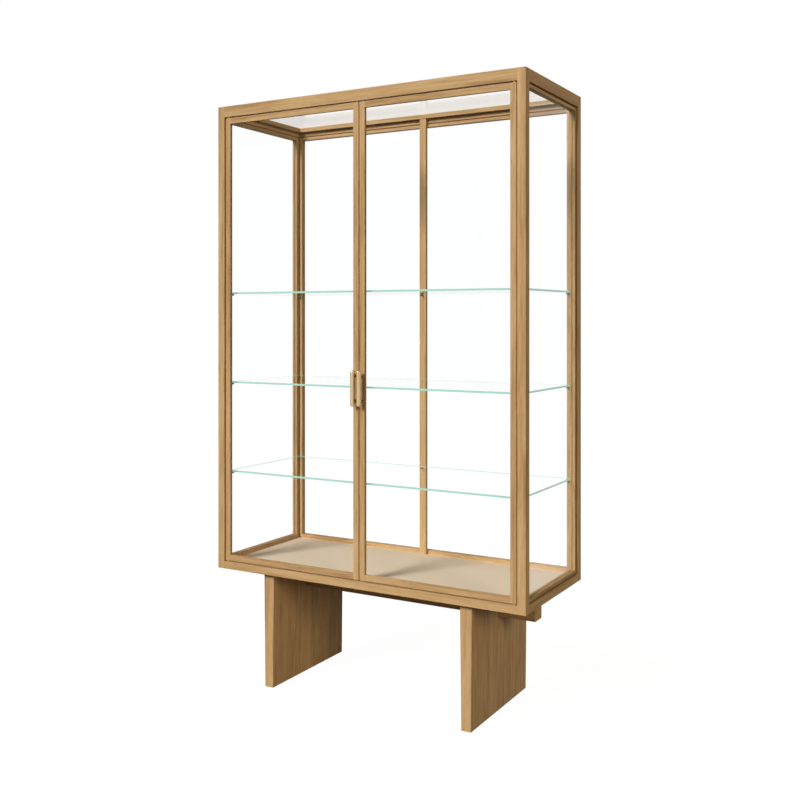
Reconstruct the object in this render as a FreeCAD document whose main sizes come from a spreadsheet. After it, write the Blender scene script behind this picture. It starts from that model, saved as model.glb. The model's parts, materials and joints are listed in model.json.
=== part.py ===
import FreeCAD, Part
import os
import re
import Sketcher

# Display cabinet: an oak carcass glazed on the front, sides, back and top, on two slab legs.
# Frame: +Z up, +Y towards the back, origin on the floor at the middle of the overall box.

# Driving dimensions in millimetres: name, value, meaning
DIMENSIONS = [
    ("width", 1100, "carcass, left to right"),
    ("depth", 450, "carcass, front to back"),
    ("height", 1900, "floor to carcass top"),
    ("leg_height", 370, "floor to carcass underside"),
    ("post_size", 26, "square corner post and depth of the rails"),
    ("top_rail_height", 36, "top rail"),
    ("bottom_rail_height", 24, "bottom rail and cabinet floor"),
    ("edge_round", 1.2, "rounding of the outer edges"),
    ("tenon_length", 7, "stub tenon of a rail"),
    ("tenon_thickness", 10, "stub tenon of a rail"),
    ("tenon_shoulder", 6, "rail above and below its tenon"),
    ("joint_clearance", 0.15, "tenon in its mortise"),
    ("panel_recess", 6, "fixed panel behind the carcass face"),
    ("panel_thickness", 20, "fixed panel frame"),
    ("panel_bar", 10, "face of a fixed panel bar"),
    ("shadow_gap", 3.5, "groove between carcass and panel bar"),
    ("tongue", 8, "thickness of the tongue that bridges the groove"),
    ("glass_thickness", 4, "panes, in the middle of their frames"),
    ("glass_bite", 6, "depth of the glazing groove"),
    ("groove_clearance", 0.2, "pane in its groove"),
    ("top_recess", 1, "top pane below the carcass top"),
    ("top_glass", 6, "top pane"),
    ("ledge_thickness", 14, "ledge frame under the top pane"),
    ("mullion_width", 24, "back mullion"),
    ("mullion_depth", 12, "back mullion"),
    ("door_gap", 3.5, "gap between a door and the carcass"),
    ("meeting_gap", 3, "gap between the doors"),
    ("door_recess", 3.5, "door behind the carcass face"),
    ("door_thickness", 11, "door frame"),
    ("door_bar", 19, "face of a door stile or rail"),
    ("pivot_inset", 8, "door pivot from the door's edge"),
    ("pin_radius", 2.5, "pivot pin"),
    ("pin_in_door", 12, "pivot pin inside the stile"),
    ("bush_radius", 4, "pivot bush"),
    ("bush_length", 10, "pivot bush inside the rail"),
    ("flange_radius", 5.2, "flange of the bush"),
    ("running_clearance", 0.05, "pin in its bush"),
    ("seat_clearance", 0.05, "fixed piece in its seat"),
    ("lift_clearance", 0.3, "door above the flange of its bush"),
    ("handle_length", 110, "pull bar"),
    ("handle_radius", 7, "pull bar"),
    ("handle_end_round", 5.5, "rounding of the bar's ends"),
    ("handle_standoff", 19.5, "bar axis in front of the door"),
    ("handle_level", 985, "middle of the bar above the floor"),
    ("foot_radius", 4.5, "foot of the pull"),
    ("foot_spacing", 78, "between the two feet of a pull"),
    ("screw_radius", 2, "handle screw"),
    ("screw_bite", 10, "handle screw inside the foot"),
    ("screw_clearance", 0.25, "handle screw in the stile"),
    ("screw_head_radius", 4, "handle screw head"),
    ("screw_head_height", 2.4, "handle screw head"),
    ("magnet_radius", 3, "door and catch magnets"),
    ("magnet_height", 4, "door and catch magnets"),
    ("shelf_thickness", 6, "glass shelf"),
    ("shelf_pitch", 296, "shelf spacing, from the cabinet floor up"),
    ("shelf_side_gap", 2, "shelf to the side panels"),
    ("shelf_front_gap", 16.5, "shelf to the closed doors"),
    ("shelf_back_gap", 3, "shelf to the back panel"),
    ("notch_clearance", 1, "shelf notch round the mullion"),
    ("peg_radius", 2.5, "shelf pin"),
    ("peg_depth", 6, "shelf pin inside its hole"),
    ("peg_reach", 12, "shelf pin out of its hole"),
    ("leg_top", 40, "leg thickness at the carcass"),
    ("leg_bottom", 32, "leg thickness at the floor"),
    ("leg_setback", 20, "leg from the carcass front and back"),
    ("leg_inset", 195, "middle of the leg from the carcass side"),
    ("leg_round", 3, "edges of the leg"),
    ("pad_thickness", 2, "felt pad under the leg"),
    ("pad_radius", 12, "felt pad under the leg"),
    ("pad_inset", 32, "pad from the end of the leg"),
    ("beam_thickness", 50, "centre beam, front to back"),
    ("beam_height", 78, "centre beam"),
    ("beam_inset", 52, "centre beam end from the carcass side"),
    ("beam_round", 4, "edges of the centre beam"),
    ("fixing_radius", 4, "base screw"),
    ("fixing_head_radius", 6.5, "base screw head"),
    ("fixing_head_height", 8, "base screw head"),
    ("fixing_grip", 40, "beam wood above a screw head"),
    ("fixing_bite", 15, "base screw inside the cabinet floor"),
    ("fixing_near", 130, "inner base screws from the middle"),
    ("fixing_inset", 53, "outer base screws from the beam's end"),
    ("well_clearance", 1, "base screw head in its well"),
]
NAMES = {name for name, value, meaning in DIMENSIONS}

doc = FreeCAD.newDocument("display_cabinet")
sheet = doc.addObject("Spreadsheet::Sheet", "dims")
for line, (name, value, meaning) in enumerate(DIMENSIONS, start=1):
    sheet.set(f"A{line}", name)
    sheet.set(f"B{line}", str(value))
    sheet.set(f"C{line}", meaning)
    sheet.setAlias(f"B{line}", name)
doc.recompute()

nodes = {}


def bound(formula):
    """Write a formula over the named dimensions as an expression on the sheet."""
    return re.sub(r"[a-z_]+", lambda word: f"dims.{word[0]}" if word[0] in NAMES else word[0], formula)


def number(formula):
    """The present value of a formula over the named dimensions."""
    return float(sheet.evalExpression(bound(formula)))


def plus(*terms):
    return "(" + " + ".join(terms) + ")"


def minus(first, *terms):
    return "(" + " - ".join((first,) + terms) + ")"


# Planes of the carcass
HANDLE_REACH = "(handle_standoff + handle_radius - door_recess)"
FRONT = f"(({HANDLE_REACH} - depth) / 2)"
BACK = plus(FRONT, "depth")
MIDDLE = plus(FRONT, "depth / 2")
LEFT = "(-width / 2)"
RIGHT = "(width / 2)"
BASE = "leg_height"
TOP = "height"

# Clear openings between the posts and between the rails
OPEN_LEFT = plus(LEFT, "post_size")
OPEN_RIGHT = minus(RIGHT, "post_size")
OPEN_FRONT = plus(FRONT, "post_size")
OPEN_BACK = minus(BACK, "post_size")
OPEN_LOW = plus(BASE, "bottom_rail_height")
OPEN_HIGH = minus(TOP, "top_rail_height")
ACROSS = (OPEN_LEFT, OPEN_RIGHT)
ALONG = (OPEN_FRONT, OPEN_BACK)
UPRIGHT = (OPEN_LOW, OPEN_HIGH)

# Doors
DOOR_FACE = plus(FRONT, "door_recess")
DOOR_BACK = plus(DOOR_FACE, "door_thickness")
DOOR_LOW = plus(OPEN_LOW, "door_gap")
DOOR_HIGH = minus(OPEN_HIGH, "door_gap")
DOOR_MIDDLE = plus(DOOR_FACE, "door_thickness / 2")
DOORS = {"left": (OPEN_LEFT, 1), "right": (OPEN_RIGHT, -1)}


def place(piece, x, y, z):
    for axis, formula in zip("xyz", (x, y, z)):
        piece.setExpression(f"Placement.Base.{axis}", bound(formula))
    return piece


def block(name, x, y, z):
    """A box between two planes on each axis."""
    box = doc.addObject("Part::Box", name)
    for side, (low, high) in zip(("Length", "Width", "Height"), (x, y, z)):
        box.setExpression(side, bound(minus(high, low)))
    return place(box, x[0], y[0], z[0])


def rod(name, radius, length, start, direction=(0, 0, 1)):
    """A cylinder from a start point along a direction."""
    cylinder = doc.addObject("Part::Cylinder", name)
    cylinder.setExpression("Radius", bound(radius))
    cylinder.setExpression("Height", bound(length))
    turn = FreeCAD.Rotation(FreeCAD.Vector(0, 0, 1), FreeCAD.Vector(*direction))
    cylinder.Placement = FreeCAD.Placement(FreeCAD.Vector(), turn)
    return place(cylinder, *start)


def fuse(name, *pieces):
    joined = doc.addObject("Part::MultiFuse", name)
    joined.Shapes = list(pieces)
    joined.Refine = True
    return joined


def cut(name, base, *tools):
    result = doc.addObject("Part::Cut", name)
    result.Base = base
    result.Tool = tools[0] if len(tools) == 1 else group(f"{name}_tools", *tools)
    return result


def group(name, *pieces):
    """Separate solids that share one node or one cut."""
    compound = doc.addObject("Part::Compound", name)
    compound.Links = list(pieces)
    return compound


def round_edges(name, base, radius, wanted):
    doc.recompute()
    size = number(radius)
    edges = enumerate(base.Shape.Edges, start=1)
    rounded = doc.addObject("Part::Fillet", name)
    rounded.Base = base
    rounded.Edges = [(index, size, size) for index, edge in edges if wanted(edge)]
    return rounded


def eased(name, base, radius, planes):
    """Round the straight edges that lie on two of the given planes, each an axis and a formula."""
    levels = [(axis, number(formula)) for axis, formula in planes]

    def on_two_planes(edge):
        ends = [vertex.Point for vertex in edge.Vertexes]
        lying = [all(abs(end[axis] - level) < 1e-6 for end in ends) for axis, level in levels]
        return sum(lying) == 2

    return round_edges(name, base, radius, on_two_planes)


def keep(label, piece):
    """Give a finished sub-part its own label."""
    piece.Label = label
    nodes[label] = piece
    return piece


def inward_span(face, inward, near, far):
    """Two planes measured inwards from a face."""
    if inward > 0:
        return (plus(face, near), plus(face, far))
    return (minus(face, far), minus(face, near))


def around(centre, half):
    return (minus(centre, half), plus(centre, half))


# Rails between the posts, each with a stub tenon in a mortise of the post at either end
HEIGHTS = {"top": (OPEN_HIGH, TOP, TOP), "bottom": (BASE, OPEN_LOW, BASE)}
SIDES = {
    "front": (0, 1, FRONT, 1),
    "back": (0, 1, BACK, -1),
    "left": (1, 0, LEFT, 1),
    "right": (1, 0, RIGHT, -1),
}
POSTS = {
    "front_left": ("front", "left"),
    "front_right": ("front", "right"),
    "back_left": ("back", "left"),
    "back_right": ("back", "right"),
}


def tenon(name, level, side, slack):
    """The tenons of one rail as a bar that runs past both of its shoulders."""
    run, across, face, inward = SIDES[side]
    low, high, outer = HEIGHTS[level]
    length = ACROSS if run == 0 else ALONG
    spans = [None, None, (plus(low, "tenon_shoulder", f"-{slack}"), minus(high, "tenon_shoulder", f"-{slack}"))]
    spans[run] = (minus(length[0], "tenon_length", slack), plus(length[1], "tenon_length", slack))
    centre = plus(face, f"{inward} * post_size / 2")
    spans[across] = around(centre, plus("tenon_thickness / 2", slack))
    return block(name, *spans)


def pivot_x(side):
    opening, inward = DOORS[side]
    return plus(opening, f"{inward} * (door_gap + pivot_inset)")


def handle_x(side):
    inward = DOORS[side][1]
    return f"({-inward} * (meeting_gap + door_bar) / 2)"


BUSH_LOW = {"top": OPEN_HIGH, "bottom": minus(OPEN_LOW, "bush_length")}
for level, (low, high, outer) in HEIGHTS.items():
    for side, (run, across, face, inward) in SIDES.items():
        name = f"{level}_{side}_rail"
        spans = [None, None, (low, high)]
        spans[run] = ACROSS if run == 0 else ALONG
        spans[across] = inward_span(face, inward, "0", "post_size")
        bar = fuse(f"{name}_bar", block(f"{name}_blank", *spans), tenon(f"{name}_tenon", level, side, "0"))
        soft = eased(f"{name}_soft", bar, "edge_round", [(across, face), (2, outer)])
        seats = []
        if side == "front":
            seats = [
                rod(f"{name}_{door}_seat", "bush_radius + seat_clearance", "bush_length",
                    (pivot_x(door), DOOR_MIDDLE, BUSH_LOW[level]))
                for door in DOORS
            ]
        if name == "top_front_rail":
            seats += [
                rod(f"{name}_{door}_magnet_seat", "magnet_radius + seat_clearance", "magnet_height",
                    (handle_x(door), DOOR_MIDDLE, OPEN_HIGH))
                for door in DOORS
            ]
        keep(name, cut(name, soft, *seats) if seats else soft)

# Corner posts, full height of the carcass
for corner, (depthwise, sidewise) in POSTS.items():
    name = f"{corner}_post"
    spans = [None, None, (BASE, TOP)]
    planes = [(2, BASE), (2, TOP)]
    for side in (depthwise, sidewise):
        run, across, face, inward = SIDES[side]
        spans[across] = inward_span(face, inward, "0", "post_size")
        planes.append((across, face))
    soft = eased(f"{name}_soft", block(f"{name}_blank", *spans), "edge_round", planes)
    mortises = [
        tenon(f"{name}_{level}_{side}_mortise", level, side, "joint_clearance")
        for level in HEIGHTS for side in (depthwise, sidewise)
    ]
    keep(name, cut(name, soft, *mortises))


class Glazing:
    """One frame in its own plane: two in-plane axes and a depth behind a carcass face."""

    def __init__(self, name, axes, first, second, face, inward, recess, thickness, bar, gaps):
        self.name = name
        self.axes = axes
        self.opening = (first, second)
        self.outer = tuple(
            (plus(low, gap[0]), minus(high, gap[1])) for (low, high), gap in zip(self.opening, gaps)
        )
        self.inner = tuple((plus(low, bar), minus(high, bar)) for low, high in self.outer)
        self.body = inward_span(face, inward, recess, plus(recess, thickness))
        centre = plus(recess, f"{thickness} / 2")
        near, far = around(centre, "tongue / 2")
        self.tongue = inward_span(face, inward, near, far)
        self.deep_tongue = inward_span(face, inward, near, plus(recess, thickness))
        self.pane = inward_span(face, inward, *around(centre, "glass_thickness / 2"))
        self.groove = (minus(self.pane[0], "groove_clearance"), plus(self.pane[1], "groove_clearance"))

    def solid(self, part, first, second, through):
        spans = [None, None, None]
        for axis, planes in zip(self.axes, (first, second, through)):
            spans[axis] = planes
        return block(f"{self.name}_{part}", *spans)

    def bar(self, part, upright, end, tongue=None, grooved=True):
        """A full-length stile or a rail between the stiles, at the low or the high end."""
        across = 0 if upright else 1
        length = self.outer[1] if upright else self.inner[0]
        outside, inside = self.outer[across][end], self.inner[across][end]
        edge = self.opening[across][end]

        def piece(suffix, near, far, reach, through):
            width = (near, far) if end == 0 else (far, near)
            spans = (width, reach) if upright else (reach, width)
            return self.solid(f"{part}_{suffix}", *spans, through)

        bar = piece("blank", outside, inside, length, self.body)
        if tongue:
            bar = fuse(f"{self.name}_{part}_bar", bar, piece("tongue", edge, outside, length, tongue))
        if not grooved:
            return bar
        bottom = minus(inside, "glass_bite") if end == 0 else plus(inside, "glass_bite")
        reach = length
        if upright:
            reach = (minus(self.inner[1][0], "glass_bite"), plus(self.inner[1][1], "glass_bite"))
        return cut(f"{self.name}_{part}", bar, piece("groove", bottom, inside, reach, self.groove))

    def glass(self):
        slack = "(glass_bite - groove_clearance)"
        spans = [(minus(low, slack), plus(high, slack)) for low, high in self.inner]
        return self.solid("pane", *spans, self.pane)


ENDS = ("low", "high")
GAPS = (("shadow_gap", "shadow_gap"), ("shadow_gap", "shadow_gap"))
PANEL = ("panel_recess", "panel_thickness", "panel_bar", GAPS)


# Shelf pins stand level in the side panel stiles and in the mullion
def shelf_low(level):
    return plus(OPEN_LOW, f"shelf_pitch * {level}", "-shelf_thickness / 2")


def peg(name, level, x, y, direction, hole):
    """A shelf pin through a point on its seat face, or the hole that takes it."""
    radius = "(peg_radius + seat_clearance)" if hole else "peg_radius"
    sunk = "(peg_depth + seat_clearance)" if hole else "peg_depth"
    start = [minus(at, f"{way} * {sunk}") for at, way in zip((x, y), direction)]
    z = minus(shelf_low(level), "peg_radius", "seat_clearance")
    return rod(name, radius, plus(sunk, "peg_reach"), (*start, z), direction)


SHELVES = {"lower_shelf": 1, "middle_shelf": 2, "upper_shelf": 3}
MULLION_FACE = minus(OPEN_BACK, "mullion_depth")
PEG_LINE = "(shadow_gap + panel_bar / 2)"
PEG_SEATS = {
    "left_low": (OPEN_LEFT, plus(OPEN_FRONT, PEG_LINE), (1, 0, 0)),
    "left_high": (OPEN_LEFT, minus(OPEN_BACK, PEG_LINE), (1, 0, 0)),
    "right_low": (OPEN_RIGHT, plus(OPEN_FRONT, PEG_LINE), (-1, 0, 0)),
    "right_high": (OPEN_RIGHT, minus(OPEN_BACK, PEG_LINE), (-1, 0, 0)),
    "mullion": ("0", MULLION_FACE, (0, -1, 0)),
}


def peg_holes(seat):
    return [peg(f"{seat}_{name}_hole", level, *PEG_SEATS[seat], True) for name, level in SHELVES.items()]


# Fixed side and back panels: a slim frame, a tongue across the shadow groove and one pane
panels = {
    "left": Glazing("left_panel", (1, 2, 0), ALONG, UPRIGHT, LEFT, 1, *PANEL),
    "right": Glazing("right_panel", (1, 2, 0), ALONG, UPRIGHT, RIGHT, -1, *PANEL),
    "back": Glazing("back_panel", (0, 2, 1), ACROSS, UPRIGHT, BACK, -1, *PANEL),
}
for side, panel in panels.items():
    stiles = [panel.bar(f"{ENDS[end]}_stile", True, end, panel.tongue) for end in (0, 1)]
    if side != "back":
        stiles = [
            cut(f"{side}_{end}_bored_stile", stile, *peg_holes(f"{side}_{end}"))
            for end, stile in zip(ENDS, stiles)
        ]
    rails = [
        panel.bar("low_rail", False, 0, panel.deep_tongue),
        panel.bar("high_rail", False, 1, panel.tongue),
    ]
    keep(f"{side}_panel_stiles", group(f"{side}_panel_stiles", *stiles))
    keep(f"{side}_panel_rails", group(f"{side}_panel_rails", *rails))
    keep(f"{side}_panel_glass", panel.glass())

# Top: a ledge frame with the pane lying on it
LEDGE_RECESS = "(top_recess + top_glass)"
ledge = Glazing("top_panel", (0, 1, 2), ACROSS, ALONG, TOP, -1,
                LEDGE_RECESS, "ledge_thickness", "panel_bar", GAPS)
for kind, upright in (("stiles", True), ("rails", False)):
    bars = [ledge.bar(f"{ENDS[end]}_{kind}", upright, end, ledge.tongue, False) for end in (0, 1)]
    keep(f"top_panel_{kind}", group(f"top_panel_{kind}", *bars))
top_pane = inward_span(TOP, -1, "top_recess", LEDGE_RECESS)
keep("top_panel_glass", ledge.solid("pane", *ledge.outer, top_pane))

# Cabinet floor, flush with the bottom rails above and below
FIXINGS = (
    plus(LEFT, "beam_inset", "fixing_inset"),
    "-fixing_near",
    "fixing_near",
    minus(RIGHT, "beam_inset", "fixing_inset"),
)
floor_blank = block("floor_blank", ACROSS, ALONG, (BASE, OPEN_LOW))
floor_holes = [
    rod(f"floor_hole_{index}", "fixing_radius + seat_clearance", "fixing_bite", (x, MIDDLE, BASE))
    for index, x in enumerate(FIXINGS)
]
keep("floor_panel", cut("floor_panel", floor_blank, *floor_holes))

# Mullion in front of the back pane, from the cabinet floor to the ledge frame
MULLION_X = around("0", "mullion_width / 2")
mullion_blank = block("mullion_blank", MULLION_X, (MULLION_FACE, OPEN_BACK), (OPEN_LOW, ledge.body[0]))
keep("back_mullion", cut("back_mullion", mullion_blank, *peg_holes("mullion")))

# Glass shelves, notched round the mullion, and their pins
shelf_x = (plus(OPEN_LEFT, "shelf_side_gap"), minus(OPEN_RIGHT, "shelf_side_gap"))
shelf_y = (plus(DOOR_BACK, "shelf_front_gap"), minus(OPEN_BACK, "shelf_back_gap"))
notch_x = around("0", "(mullion_width / 2 + notch_clearance)")
notch_y = (minus(MULLION_FACE, "notch_clearance"), OPEN_BACK)
pins = []
for name, level in SHELVES.items():
    heights = (shelf_low(level), plus(shelf_low(level), "shelf_thickness"))
    blank = block(f"{name}_blank", shelf_x, shelf_y, heights)
    keep(name, cut(name, blank, block(f"{name}_notch", notch_x, notch_y, heights)))
    pins += [peg(f"{seat}_{name}_pin", level, *spot, False) for seat, spot in PEG_SEATS.items()]
keep("shelf_pins", group("shelf_pins", *pins))

# Doors, each with its pivot pins, pull, screws and magnet
FEET = [plus("handle_level", f"{end} * foot_spacing / 2") for end in (-1, 1)]
bushes = []
catches = []
for side, (opening, inward) in DOORS.items():
    hinge_end, meeting_end = (0, 1) if inward > 0 else (1, 0)
    edges = (opening, "0") if inward > 0 else ("0", opening)
    gaps = ["meeting_gap / 2", "meeting_gap / 2"]
    gaps[hinge_end] = "door_gap"
    door = Glazing(f"{side}_door", (0, 2, 1), edges, UPRIGHT, FRONT, 1,
                   "door_recess", "door_thickness", "door_bar", (gaps, ("door_gap", "door_gap")))
    door_x = door.outer[0]
    middle = handle_x(side)
    pivot = (pivot_x(side), DOOR_MIDDLE)

    def soft_stile(part, end):
        planes = [(0, door_x[end]), (1, DOOR_FACE), (2, DOOR_LOW), (2, DOOR_HIGH)]
        return eased(f"{side}_{part}_soft", door.bar(part, True, end), "edge_round", planes)

    # Hinge stile, bored at both ends for the pivot pins
    pin_holes = [
        rod(f"{side}_pin_hole_{index}", "pin_radius + seat_clearance", "pin_in_door", (*pivot, low))
        for index, low in enumerate((DOOR_LOW, minus(DOOR_HIGH, "pin_in_door")))
    ]
    name = f"{side}_door_hinge_stile"
    keep(name, cut(name, soft_stile("hinge", hinge_end), *pin_holes))

    # Meeting stile, bored for the screws of the pull and for the magnet
    bores = [
        rod(f"{side}_screw_hole_{index}", "screw_radius + screw_clearance", "door_thickness",
            (middle, DOOR_FACE, z), (0, 1, 0))
        for index, z in enumerate(FEET)
    ]
    magnet_low = minus(DOOR_HIGH, "magnet_height")
    bores.append(rod(f"{side}_magnet_hole", "magnet_radius + seat_clearance", "magnet_height",
                     (middle, DOOR_MIDDLE, magnet_low)))
    name = f"{side}_door_meeting_stile"
    keep(name, cut(name, soft_stile("meeting", meeting_end), *bores))

    for label, end, level in (("bottom", 0, DOOR_LOW), ("top", 1, DOOR_HIGH)):
        planes = [(1, DOOR_FACE), (2, level)]
        name = f"{side}_door_{label}_rail"
        keep(name, eased(name, door.bar(f"{label}_bar", False, end), "edge_round", planes))
    keep(f"{side}_door_glass", door.glass())
    keep(f"{side}_door_magnet", rod(f"{side}_door_magnet", "magnet_radius", "magnet_height",
                                    (middle, DOOR_MIDDLE, magnet_low)))
    catches.append(rod(f"{side}_catch", "magnet_radius", "magnet_height", (middle, DOOR_MIDDLE, OPEN_HIGH)))

    # Pivot pins turn in flanged bushes, and the lower flange carries the door
    in_bush = "(bush_length - lift_clearance)"
    in_door = "(pin_in_door - lift_clearance)"
    pin_lows = {"bottom": minus(OPEN_LOW, in_bush), "top": minus(DOOR_HIGH, in_door)}
    flange_height = "(door_gap - lift_clearance)"
    flange_lows = {"bottom": OPEN_LOW, "top": minus(OPEN_HIGH, flange_height)}
    door_pins = []
    for level, low in pin_lows.items():
        name = f"{side}_{level}"
        door_pins.append(rod(f"{name}_pin", "pin_radius", plus(in_bush, "door_gap", in_door), (*pivot, low)))
        shell = rod(f"{name}_shell", "bush_radius", "bush_length", (*pivot, BUSH_LOW[level]))
        flange = rod(f"{name}_flange", "flange_radius", flange_height, (*pivot, flange_lows[level]))
        bore = rod(f"{name}_bore", "pin_radius + running_clearance", "bush_length + 2 * door_gap",
                   (*pivot, minus(BUSH_LOW[level], "door_gap")))
        bushes.append(cut(f"{name}_bush", fuse(f"{name}_bush_blank", shell, flange), bore))
    keep(f"{side}_door_pivots", group(f"{side}_door_pivots", *door_pins))

    # Pull: a round bar with rounded ends on two feet
    bar_y = minus(DOOR_FACE, "handle_standoff")
    bar_low = minus("handle_level", "handle_length / 2")
    straight = rod(f"{side}_pull_bar", "handle_radius", "handle_length", (middle, bar_y, bar_low))
    rounded = round_edges(f"{side}_pull_soft", straight, "handle_end_round",
                          lambda edge: len(edge.Vertexes) == 1)
    feet = [
        rod(f"{side}_pull_foot_{index}", "foot_radius", "handle_standoff", (middle, bar_y, z), (0, 1, 0))
        for index, z in enumerate(FEET)
    ]
    threads = [
        rod(f"{side}_pull_thread_{index}", "screw_radius + seat_clearance", "screw_bite + seat_clearance",
            (middle, DOOR_FACE, z), (0, -1, 0))
        for index, z in enumerate(FEET)
    ]
    keep(f"{side}_handle", cut(f"{side}_handle", fuse(f"{side}_pull", rounded, *feet), *threads))
    screws = []
    for index, z in enumerate(FEET):
        start = (middle, DOOR_BACK, z)
        shank = rod(f"{side}_shank_{index}", "screw_radius", "door_thickness + screw_bite", start, (0, -1, 0))
        head = rod(f"{side}_head_{index}", "screw_head_radius", "screw_head_height", start, (0, 1, 0))
        screws.append(fuse(f"{side}_screw_{index}", shank, head))
    keep(f"{side}_handle_screws", group(f"{side}_handle_screws", *screws))
keep("pivot_bushes", group("pivot_bushes", *bushes))
keep("catch_magnets", group("catch_magnets", *catches))

# Centre beam under the cabinet floor, with a well for each base screw head
beam_low = minus(BASE, "beam_height")
beam_x = (plus(LEFT, "beam_inset"), minus(RIGHT, "beam_inset"))
beam_y = around(MIDDLE, "beam_thickness / 2")
beam_planes = [(axis, plane) for axis, pair in ((0, beam_x), (1, beam_y)) for plane in pair]
beam_soft = eased("beam_soft", block("beam_blank", beam_x, beam_y, (beam_low, BASE)),
                  "beam_round", beam_planes + [(2, beam_low)])
head_top = minus(BASE, "fixing_grip")
wells = []
fixings = []
for index, x in enumerate(FIXINGS):
    well = rod(f"well_{index}", "fixing_head_radius + well_clearance", "beam_height - fixing_grip",
               (x, MIDDLE, beam_low))
    hole = rod(f"well_hole_{index}", "fixing_radius + seat_clearance", "beam_height", (x, MIDDLE, beam_low))
    wells.append(fuse(f"well_bore_{index}", well, hole))
    shank = rod(f"fixing_shank_{index}", "fixing_radius", "fixing_grip + fixing_bite - seat_clearance",
                (x, MIDDLE, head_top))
    head = rod(f"fixing_head_{index}", "fixing_head_radius", "fixing_head_height",
               (x, MIDDLE, minus(head_top, "fixing_head_height")))
    fixings.append(fuse(f"fixing_{index}", shank, head))
keep("centre_beam", cut("centre_beam", beam_soft, *wells))
keep("base_screws", group("base_screws", *fixings))


def sketch_outline(body, name, role, points):
    """A closed outline of straight lines whose corners are bound to formulas."""
    sketch = body.newObject("Sketcher::SketchObject", name)
    plane = next(item for item in body.Origin.OriginFeatures if item.Role == role)
    sketch.AttachmentSupport = [(plane, "")]
    sketch.MapMode = "FlatFace"
    corners = [FreeCAD.Vector(number(x), number(y), 0) for x, y in points]
    count = len(corners)
    for index, corner in enumerate(corners):
        sketch.addGeometry(Part.LineSegment(corner, corners[(index + 1) % count]), False)
    for index in range(count):
        sketch.addConstraint(Sketcher.Constraint("Coincident", index, 2, (index + 1) % count, 1))
    for index, formulas in enumerate(points):
        for kind, axis, formula in zip(("DistanceX", "DistanceY"), "xy", formulas):
            fixed = sketch.addConstraint(Sketcher.Constraint(kind, -1, 1, index, 1, number(formula)))
            sketch.renameConstraint(fixed, f"{axis}{index}")
            sketch.setExpression(f"Constraints.{axis}{index}", bound(formula))
    return sketch


# Slab legs that thin towards the floor, notched at the top for the centre beam
def leg(name, x):
    body = doc.addObject("PartDesign::Body", name)
    slab = sketch_outline(body, f"{name}_slab", "XZ_Plane", [
        ("-leg_bottom / 2", "pad_thickness"),
        ("leg_bottom / 2", "pad_thickness"),
        ("leg_top / 2", "leg_height"),
        ("-leg_top / 2", "leg_height"),
    ])
    pad = body.newObject("PartDesign::Pad", f"{name}_pad")
    pad.Profile = slab
    pad.SideType = "Symmetric"
    pad.setExpression("Length", bound("depth - 2 * leg_setback"))
    doc.recompute()
    rise = number("leg_height / 2")
    upright = [
        f"Edge{index}" for index, edge in enumerate(pad.Shape.Edges, start=1)
        if abs(edge.Vertexes[0].Z - edge.Vertexes[1].Z) > rise
    ]
    soft = body.newObject("PartDesign::Fillet", f"{name}_soft")
    soft.Base = (pad, upright)
    soft.setExpression("Radius", bound("leg_round"))
    half = "(beam_thickness / 2 + seat_clearance)"
    low = "(leg_height - beam_height)"
    high = "(leg_height + leg_round)"
    corners = [(f"-{half}", low), (half, low), (half, high), (f"-{half}", high)]
    pocket = body.newObject("PartDesign::Pocket", f"{name}_pocket")
    pocket.Profile = sketch_outline(body, f"{name}_notch", "YZ_Plane", corners)
    pocket.SideType = "Symmetric"
    pocket.setExpression("Length", bound("2 * leg_top"))
    body.Tip = pocket
    return place(keep(name, body), x, MIDDLE, "0")


LEGS = {"left_leg": plus(LEFT, "leg_inset"), "right_leg": minus(RIGHT, "leg_inset")}
felt = []
for name, x in LEGS.items():
    leg(name, x)
    for end in (-1, 1):
        y = plus(MIDDLE, f"{end} * (depth / 2 - leg_setback - pad_inset)")
        felt.append(rod(f"{name}_felt_{end + 1}", "pad_radius", "pad_thickness", (x, y, "0")))
keep("foot_pads", group("foot_pads", *felt))

doc.recompute()
faults = [item.Name for item in doc.Objects if {"Invalid", "Error"} & set(item.State)]
faults += [label for label, piece in nodes.items() if piece.Shape.isNull() or not piece.Shape.isValid()]
if faults:
    raise RuntimeError(f"failed pieces: {faults}")

os.makedirs("parts", exist_ok=True)
for label, piece in nodes.items():
    piece.Shape.exportStep(f"parts/{label}.step")
print(len(nodes), "nodes,", sum(len(piece.Shape.Solids) for piece in nodes.values()), "solids")
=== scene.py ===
import json
import math

import bpy
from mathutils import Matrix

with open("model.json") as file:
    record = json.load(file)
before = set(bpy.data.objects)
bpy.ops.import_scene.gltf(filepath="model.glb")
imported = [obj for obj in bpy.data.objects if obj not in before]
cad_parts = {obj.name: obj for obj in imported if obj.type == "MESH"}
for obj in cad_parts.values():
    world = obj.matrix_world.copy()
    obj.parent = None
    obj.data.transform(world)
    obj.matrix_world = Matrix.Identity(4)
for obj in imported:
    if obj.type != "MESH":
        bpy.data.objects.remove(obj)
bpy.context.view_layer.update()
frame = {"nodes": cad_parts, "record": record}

NODES = frame["nodes"]

# Camera: level, with the horizon above the middle of the picture
CAMERA_PLACE = (1.6348, -2.8096, 1.1988)
CAMERA_TURN = math.radians(29.82)
LENS_MM = 45.18
SENSOR_MM = 36.0
HORIZON_SHIFT = -0.1022

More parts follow.
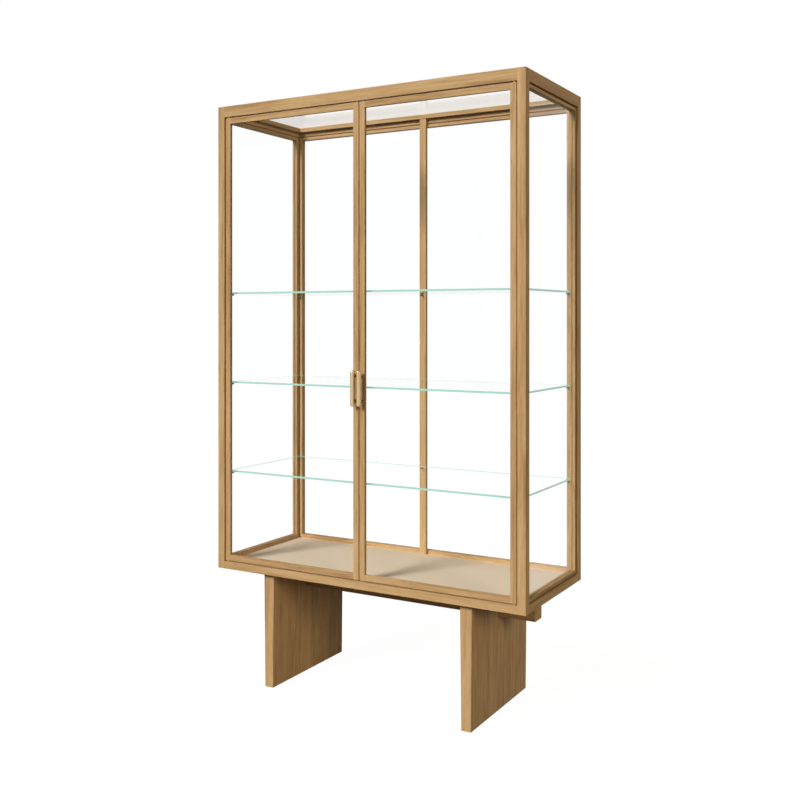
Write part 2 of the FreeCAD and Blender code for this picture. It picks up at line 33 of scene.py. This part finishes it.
# Colours as linear values
OAK_DARK = (0.36, 0.205, 0.088, 1)
OAK_MIDDLE = (0.53, 0.335, 0.155, 1)
OAK_LIGHT = (0.63, 0.42, 0.21, 1)
OAK_PORE = (0.25, 0.135, 0.055, 1)
BEIGE_LOW = (0.80, 0.64, 0.46, 1)
BEIGE_HIGH = (0.875, 0.72, 0.54, 1)
GLASS_TINT = (0.995, 1, 0.998, 1)
GLASS_EDGE = (0.20, 0.34, 0.29, 1)
# Painted light: the colour and strength of the glow given to the glass's cut edges
GLASS_EDGE_GLOW_PAINTED_COLOUR = (0.44, 0.74, 0.64, 1)
GLASS_EDGE_GLOW_PAINTED_STRENGTH = 0.52
GLASS_IOR = 1.12  # below real glass, for reflections as faint as in the photo
CUT_EDGE_LIMIT = 0.5  # a face whose normal has less than this across the sheet is a cut edge
BRASS_LOW = (0.56, 0.40, 0.215, 1)
BRASS_HIGH = (0.68, 0.51, 0.295, 1)
# Painted shade: a dark edge tint that darkens the brass handles at their rims
BRASS_RIM_PAINTED_SHADE = (0.20, 0.11, 0.05, 1)
BUSH_BRASS = (0.56, 0.36, 0.12, 1)
STEEL_LOW = (0.36, 0.36, 0.37, 1)
STEEL_HIGH = (0.5, 0.5, 0.5, 1)
DARK_METAL_LOW = (0.10, 0.06, 0.03, 1)
DARK_METAL_HIGH = (0.14, 0.085, 0.045, 1)
FELT_LOW = (0.035, 0.032, 0.03, 1)
FELT_HIGH = (0.06, 0.056, 0.052, 1)
WHITE = (1, 1, 1, 1)
FLOOR_DIFFUSE = (0.8, 0.8, 0.8, 1)
FLOOR_BOUNCE = (0.11, 0.10, 0.085, 1)
FLOOR_GLOW = 1.08
FLOOR_GLOW_SHARE = 0.9
AMBIENT = (0.09, 0.085, 0.075, 1)
KEY_COLOUR = (1.0, 1.0, 1.0)
FILL_COLOUR = (1.0, 0.85, 0.62)
BACK_COLOUR = (1.0, 0.92, 0.8)

# Axes of a piece, by number
ALONG_X = 0
ALONG_Y = 1
ALONG_Z = 2

# Oak: how far its figure is drawn out, how fine it is, and where its tones lie
BAND_STRETCH = 0.045
PORE_STRETCH = 0.025
TONE_SCALE = 26.0
GROWTH_SCALE = 150.0
PORE_SCALE = 1100.0
GROWTH_SHARE = 0.55
TONE_SHARE = 0.45
PIECE_SHIFT = (7.3, 3.1, 5.7)  # metres between the figures of two pieces, at most


def grey(level):
    return (level, level, level, 1)


WOOD_TONES = ((0.34, OAK_DARK), (0.5, OAK_MIDDLE), (0.66, OAK_LIGHT))
PORE_SHARES = ((0.60, grey(0.0)), (0.70, grey(0.55)))
OAK_ROUGHNESS = ((0.3, grey(0.62)), (0.7, grey(0.48)))


class Shading:
    """A material's node tree, with short calls to add and join nodes."""

    def __init__(self, name):
        self.material = bpy.data.materials.new(name)
        self.material.use_nodes = True
        self.tree = self.material.node_tree
        self.tree.nodes.clear()
        self.output = self.add("ShaderNodeOutputMaterial")

    def add(self, kind, **settings):
        node = self.tree.nodes.new(kind)
        for key, value in settings.items():
            if hasattr(node, key):
                setattr(node, key, value)
            else:
                node.inputs[key.replace("_", " ")].default_value = value
        return node

    def join(self, source, target):
        self.tree.links.new(source, target)

    def show(self, shader):
        self.join(shader, self.output.inputs["Surface"])
        return self.material

    def principled(self, **settings):
        return self.add("ShaderNodeBsdfPrincipled", **settings)

    def noise(self, vector, scale, detail=2.0, distortion=0.0):
        node = self.add("ShaderNodeTexNoise", Scale=scale, Detail=detail, Distortion=distortion)
        self.join(vector, node.inputs["Vector"])
        return node.outputs["Fac"]

    def ramp(self, factor, *stops):
        node = self.add("ShaderNodeValToRGB")
        elements = node.color_ramp.elements
        while len(elements) < len(stops):
            elements.new(0.5)  # moved to its place below
        for element, (place, colour) in zip(elements, stops):
            element.position = place
            element.color = colour
        self.join(factor, node.inputs["Fac"])
        return node.outputs["Color"]

    def bump(self, height, strength, distance):
        node = self.add("ShaderNodeBump", Strength=strength, Distance=distance)
        self.join(height, node.inputs["Height"])
        return node.outputs["Normal"]


def stretched(shading, axis, along):
    """Coordinates of the piece, drawn out along one axis and shifted from piece to piece."""
    place = shading.add("ShaderNodeTexCoord").outputs["Object"]
    piece = shading.add("ShaderNodeObjectInfo").outputs["Random"]
    shift = shading.add("ShaderNodeVectorMath", operation="SCALE")
    shift.inputs[0].default_value = PIECE_SHIFT
    shading.join(piece, shift.inputs["Scale"])
    moved = shading.add("ShaderNodeVectorMath", operation="ADD")
    shading.join(place, moved.inputs[0])
    shading.join(shift.outputs[0], moved.inputs[1])
    mapping = shading.add("ShaderNodeMapping")
    scale = [1.0, 1.0, 1.0]
    scale[axis] = along
    mapping.inputs["Scale"].default_value = scale
    shading.join(moved.outputs[0], mapping.inputs["Vector"])
    return mapping.outputs["Vector"]


def oak(name, axis):
    """Matt oiled oak: broad tone, growth bands and fine open pores, all along the grain."""
    shading = Shading(name)
    bands = stretched(shading, axis, BAND_STRETCH)
    pores = stretched(shading, axis, PORE_STRETCH)
    tone = shading.noise(bands, TONE_SCALE, detail=3.0, distortion=0.4)
    growth = shading.noise(bands, GROWTH_SCALE, detail=4.0, distortion=0.7)
    pore = shading.noise(pores, PORE_SCALE)
    mixed = shading.add("ShaderNodeMath", operation="MULTIPLY_ADD")
    mixed.inputs[1].default_value = GROWTH_SHARE
    shading.join(growth, mixed.inputs[0])
    part = shading.add("ShaderNodeMath", operation="MULTIPLY")
    part.inputs[1].default_value = TONE_SHARE
    shading.join(tone, part.inputs[0])
    shading.join(part.outputs[0], mixed.inputs[2])
    wood = shading.ramp(mixed.outputs[0], *WOOD_TONES)
    open_pore = shading.ramp(pore, *PORE_SHARES)
    colour = shading.add("ShaderNodeMixRGB", Color2=OAK_PORE)
    shading.join(open_pore, colour.inputs["Fac"])
    shading.join(wood, colour.inputs["Color1"])
    surface = shading.principled(IOR=1.45, Specular_IOR_Level=0.1)
    shading.join(colour.outputs["Color"], surface.inputs["Base Color"])
    shading.join(shading.ramp(growth, *OAK_ROUGHNESS), surface.inputs["Roughness"])
    relief = shading.bump(pore, strength=0.12, distance=0.0004)
    shading.join(relief, surface.inputs["Normal"])
    return shading.show(surface.outputs["BSDF"])


def speckled(name, low, high, scale, depth, **settings):
    """A surface of one colour with fine variation in tone and relief."""
    shading = Shading(name)
    place = shading.add("ShaderNodeTexCoord").outputs["Object"]
    grain = shading.noise(place, scale, detail=4.0)
    surface = shading.principled(**settings)
    tones = ((0.35, low), (0.65, high))
    shading.join(shading.ramp(grain, *tones), surface.inputs["Base Color"])
    relief = shading.bump(grain, strength=0.1, distance=depth)
    shading.join(relief, surface.inputs["Normal"])
    return shading.show(surface.outputs["BSDF"])


def brushed(name, low, high, axis, roughness):
    """Satin brass with fine lines along one axis and painted shade at its rims: a dark edge tint in
    place of dark surroundings reflected there.
    """
    shading = Shading(name)
    place = stretched(shading, axis, along=0.02)
    lines = shading.noise(place, scale=1600.0, detail=3.0)
    surface = shading.principled(Metallic=1.0, Roughness=roughness, Specular_Tint=BRASS_RIM_PAINTED_SHADE)
    tones = ((0.3, low), (0.7, high))
    shading.join(shading.ramp(lines, *tones), surface.inputs["Base Color"])
    relief = shading.bump(lines, strength=0.08, distance=0.0002)
    shading.join(relief, surface.inputs["Normal"])
    return shading.show(surface.outputs["BSDF"])


def sheet_glass(name, axis):
    """Clear sheet glass that lets lamps through, with teal where the sheet is cut and painted light
    glowing from the cut edges.
    """
    shading = Shading(name)
    surface = shading.principled(Roughness=0.0, IOR=GLASS_IOR)
    surface.inputs["Base Color"].default_value = GLASS_TINT
    surface.inputs["Transmission Weight"].default_value = 1.0
    clear = shading.add("ShaderNodeBsdfTransparent", Color=GLASS_TINT)
    path = shading.add("ShaderNodeLightPath")
    passing = shading.add("ShaderNodeMath", operation="MAXIMUM")
    shading.join(path.outputs["Is Shadow Ray"], passing.inputs[0])
    shading.join(path.outputs["Is Diffuse Ray"], passing.inputs[1])
    sheet = shading.add("ShaderNodeMixShader")
    shading.join(passing.outputs[0], sheet.inputs["Fac"])
    shading.join(surface.outputs["BSDF"], sheet.inputs[1])
    shading.join(clear.outputs["BSDF"], sheet.inputs[2])
    # Painted light: the cut edges glow by emission, in place of light carried inside the sheet that
    # leaves at its cut edges
    cut = shading.principled(Roughness=0.6, Specular_IOR_Level=0.0,
                             Emission_Strength=GLASS_EDGE_GLOW_PAINTED_STRENGTH)
    cut.inputs["Base Color"].default_value = GLASS_EDGE
    cut.inputs["Emission Color"].default_value = GLASS_EDGE_GLOW_PAINTED_COLOUR
    own_normal = shading.add("ShaderNodeVectorTransform", vector_type="NORMAL",
                             convert_from="WORLD", convert_to="OBJECT")
    shading.join(shading.add("ShaderNodeNewGeometry").outputs["True Normal"], own_normal.inputs[0])
    facing = shading.add("ShaderNodeSeparateXYZ")
    shading.join(own_normal.outputs[0], facing.inputs[0])
    size = shading.add("ShaderNodeMath", operation="ABSOLUTE")
    shading.join(facing.outputs[axis], size.inputs[0])
    edge = shading.add("ShaderNodeMath", operation="LESS_THAN")
    edge.inputs[1].default_value = CUT_EDGE_LIMIT
    shading.join(size.outputs[0], edge.inputs[0])
    mix = shading.add("ShaderNodeMixShader")
    shading.join(edge.outputs[0], mix.inputs["Fac"])
    shading.join(sheet.outputs["Shader"], mix.inputs[1])
    shading.join(cut.outputs["BSDF"], mix.inputs[2])
    return shading.show(mix.outputs["Shader"])


OAK = {axis: oak(f"oak_along_{label}", axis) for axis, label in enumerate("xyz")}
GLASS = {axis: sheet_glass(f"clear_glass_across_{label}", axis) for axis, label in enumerate("xyz")}
MATERIALS = {
    "beige_panel": speckled("beige_panel", BEIGE_LOW, BEIGE_HIGH, scale=420.0, depth=0.0002,
                            Roughness=0.55, Specular_IOR_Level=0.2),
    "satin_brass": brushed("satin_brass", BRASS_LOW, BRASS_HIGH, ALONG_Z, roughness=0.32),
    "bush_brass": speckled("bush_brass", BUSH_BRASS, BRASS_LOW, scale=900.0, depth=0.0001,
                           Metallic=1.0, Roughness=0.3),
    "steel": speckled("steel", STEEL_LOW, STEEL_HIGH, scale=900.0, depth=0.0001,
                      Metallic=1.0, Roughness=0.35),
    "dark_metal": speckled("dark_metal", DARK_METAL_LOW, DARK_METAL_HIGH, scale=700.0, depth=0.0001,
                           Roughness=0.6, Specular_IOR_Level=0.15),
    "felt": speckled("felt", FELT_LOW, FELT_HIGH, scale=1800.0, depth=0.0006, Roughness=0.95),
}

# Oak pieces whose grain runs from front to back
SIDE_RAILS = {
    "top_left_rail", "top_right_rail", "bottom_left_rail", "bottom_right_rail",
    "left_panel_rails", "right_panel_rails", "top_panel_stiles",
}
slots = {part["node"]: part["material_slot"] for part in frame["record"]["subparts"]}
for name, node in NODES.items():
    if slots[name] == "oak":
        if name in SIDE_RAILS:
            axis = ALONG_Y
        elif name.endswith(("rail", "rails", "beam")):
            axis = ALONG_X
        else:
            axis = ALONG_Z
        material = OAK[axis]
    elif slots[name] == "clear_glass":
        sides = list(node.dimensions)
        material = GLASS[sides.index(min(sides))]
    else:
        material = MATERIALS[slots[name]]
    node.data.materials.clear()
    node.data.materials.append(material)

# Floor: white to the eye, with a faint shadow, and dull to the light that it throws back
floor_mesh = bpy.data.meshes.new("studio_floor")
HALF = 14.0
corners = [(-HALF, -HALF, 0), (HALF, -HALF, 0), (HALF, HALF, 0), (-HALF, HALF, 0)]
floor_mesh.from_pydata(corners, [], [(0, 1, 2, 3)])
floor = bpy.data.objects.new("studio_floor", floor_mesh)
bpy.context.scene.collection.objects.link(floor)


def seen_directly(tree):
    """1 for rays from the camera, or from a reflection or glass that it looks at."""
    path = tree.nodes.new("ShaderNodeLightPath")

    def either(first, second):
        node = tree.nodes.new("ShaderNodeMath")
        node.operation = "MAXIMUM"
        tree.links.new(first, node.inputs[0])
        tree.links.new(second, node.inputs[1])
        return node.outputs[0]

    mirrored = either(path.outputs["Is Camera Ray"], path.outputs["Is Glossy Ray"])
    return either(mirrored, path.outputs["Is Transmission Ray"])


shading = Shading("studio_floor")
shadowed = shading.add("ShaderNodeBsdfDiffuse", Color=FLOOR_DIFFUSE)
white = shading.add("ShaderNodeEmission", Color=WHITE, Strength=FLOOR_GLOW)
dull = shading.add("ShaderNodeBsdfDiffuse", Color=FLOOR_BOUNCE)
pale = shading.add("ShaderNodeMixShader", Fac=FLOOR_GLOW_SHARE)
shading.join(shadowed.outputs[0], pale.inputs[1])
shading.join(white.outputs[0], pale.inputs[2])
choice = shading.add("ShaderNodeMixShader")
shading.join(seen_directly(shading.tree), choice.inputs["Fac"])
shading.join(dull.outputs[0], choice.inputs[1])
shading.join(pale.outputs[0], choice.inputs[2])
floor_mesh.materials.append(shading.show(choice.outputs[0]))

# World: white to the eye and a low even light on the object
world = bpy.data.worlds.new("studio")
bpy.context.scene.world = world
world.use_nodes = True
tree = world.node_tree
tree.nodes.clear()
backdrop = tree.nodes.new("ShaderNodeBackground")
level = tree.nodes.new("ShaderNodeMixRGB")
level.inputs["Color1"].default_value = AMBIENT
level.inputs["Color2"].default_value = WHITE
world_output = tree.nodes.new("ShaderNodeOutputWorld")
tree.links.new(seen_directly(tree), level.inputs["Fac"])
tree.links.new(level.outputs["Color"], backdrop.inputs["Color"])
tree.links.new(backdrop.outputs[0], world_output.inputs["Surface"])


def lamp(name, from_left, above, strength, softness, colour, mirrored):
    """A distant lamp; angles in degrees, from_left measured at the front of the cabinet."""
    light = bpy.data.lights.new(name, "SUN")
    light.energy = strength
    light.angle = math.radians(softness)
    light.color = colour
    holder = bpy.data.objects.new(name, light)
    holder.rotation_euler = (math.radians(90 - above), 0, math.radians(-from_left))
    holder.visible_transmission = False  # no lamp disc through the panes
    holder.visible_glossy = mirrored
    bpy.context.scene.collection.objects.link(holder)


# A broad key from the upper front left, a weak fill from the right and a low one from behind
lamp("key", from_left=20, above=32, strength=3.05, softness=20, colour=KEY_COLOUR, mirrored=True)
lamp("fill", from_left=-63, above=20, strength=1.0, softness=24, colour=FILL_COLOUR, mirrored=False)
lamp("back", from_left=165, above=3, strength=0.9, softness=20, colour=BACK_COLOUR, mirrored=False)

camera = bpy.data.cameras.new("camera")
camera.lens = LENS_MM
camera.sensor_width = SENSOR_MM
camera.shift_y = HORIZON_SHIFT
camera_object = bpy.data.objects.new("camera", camera)
camera_object.location = CAMERA_PLACE
camera_object.rotation_euler = (math.pi / 2, 0, CAMERA_TURN)
bpy.context.scene.collection.objects.link(camera_object)
bpy.context.scene.camera = camera_object
bpy.context.scene.view_settings.view_transform = "Standard"
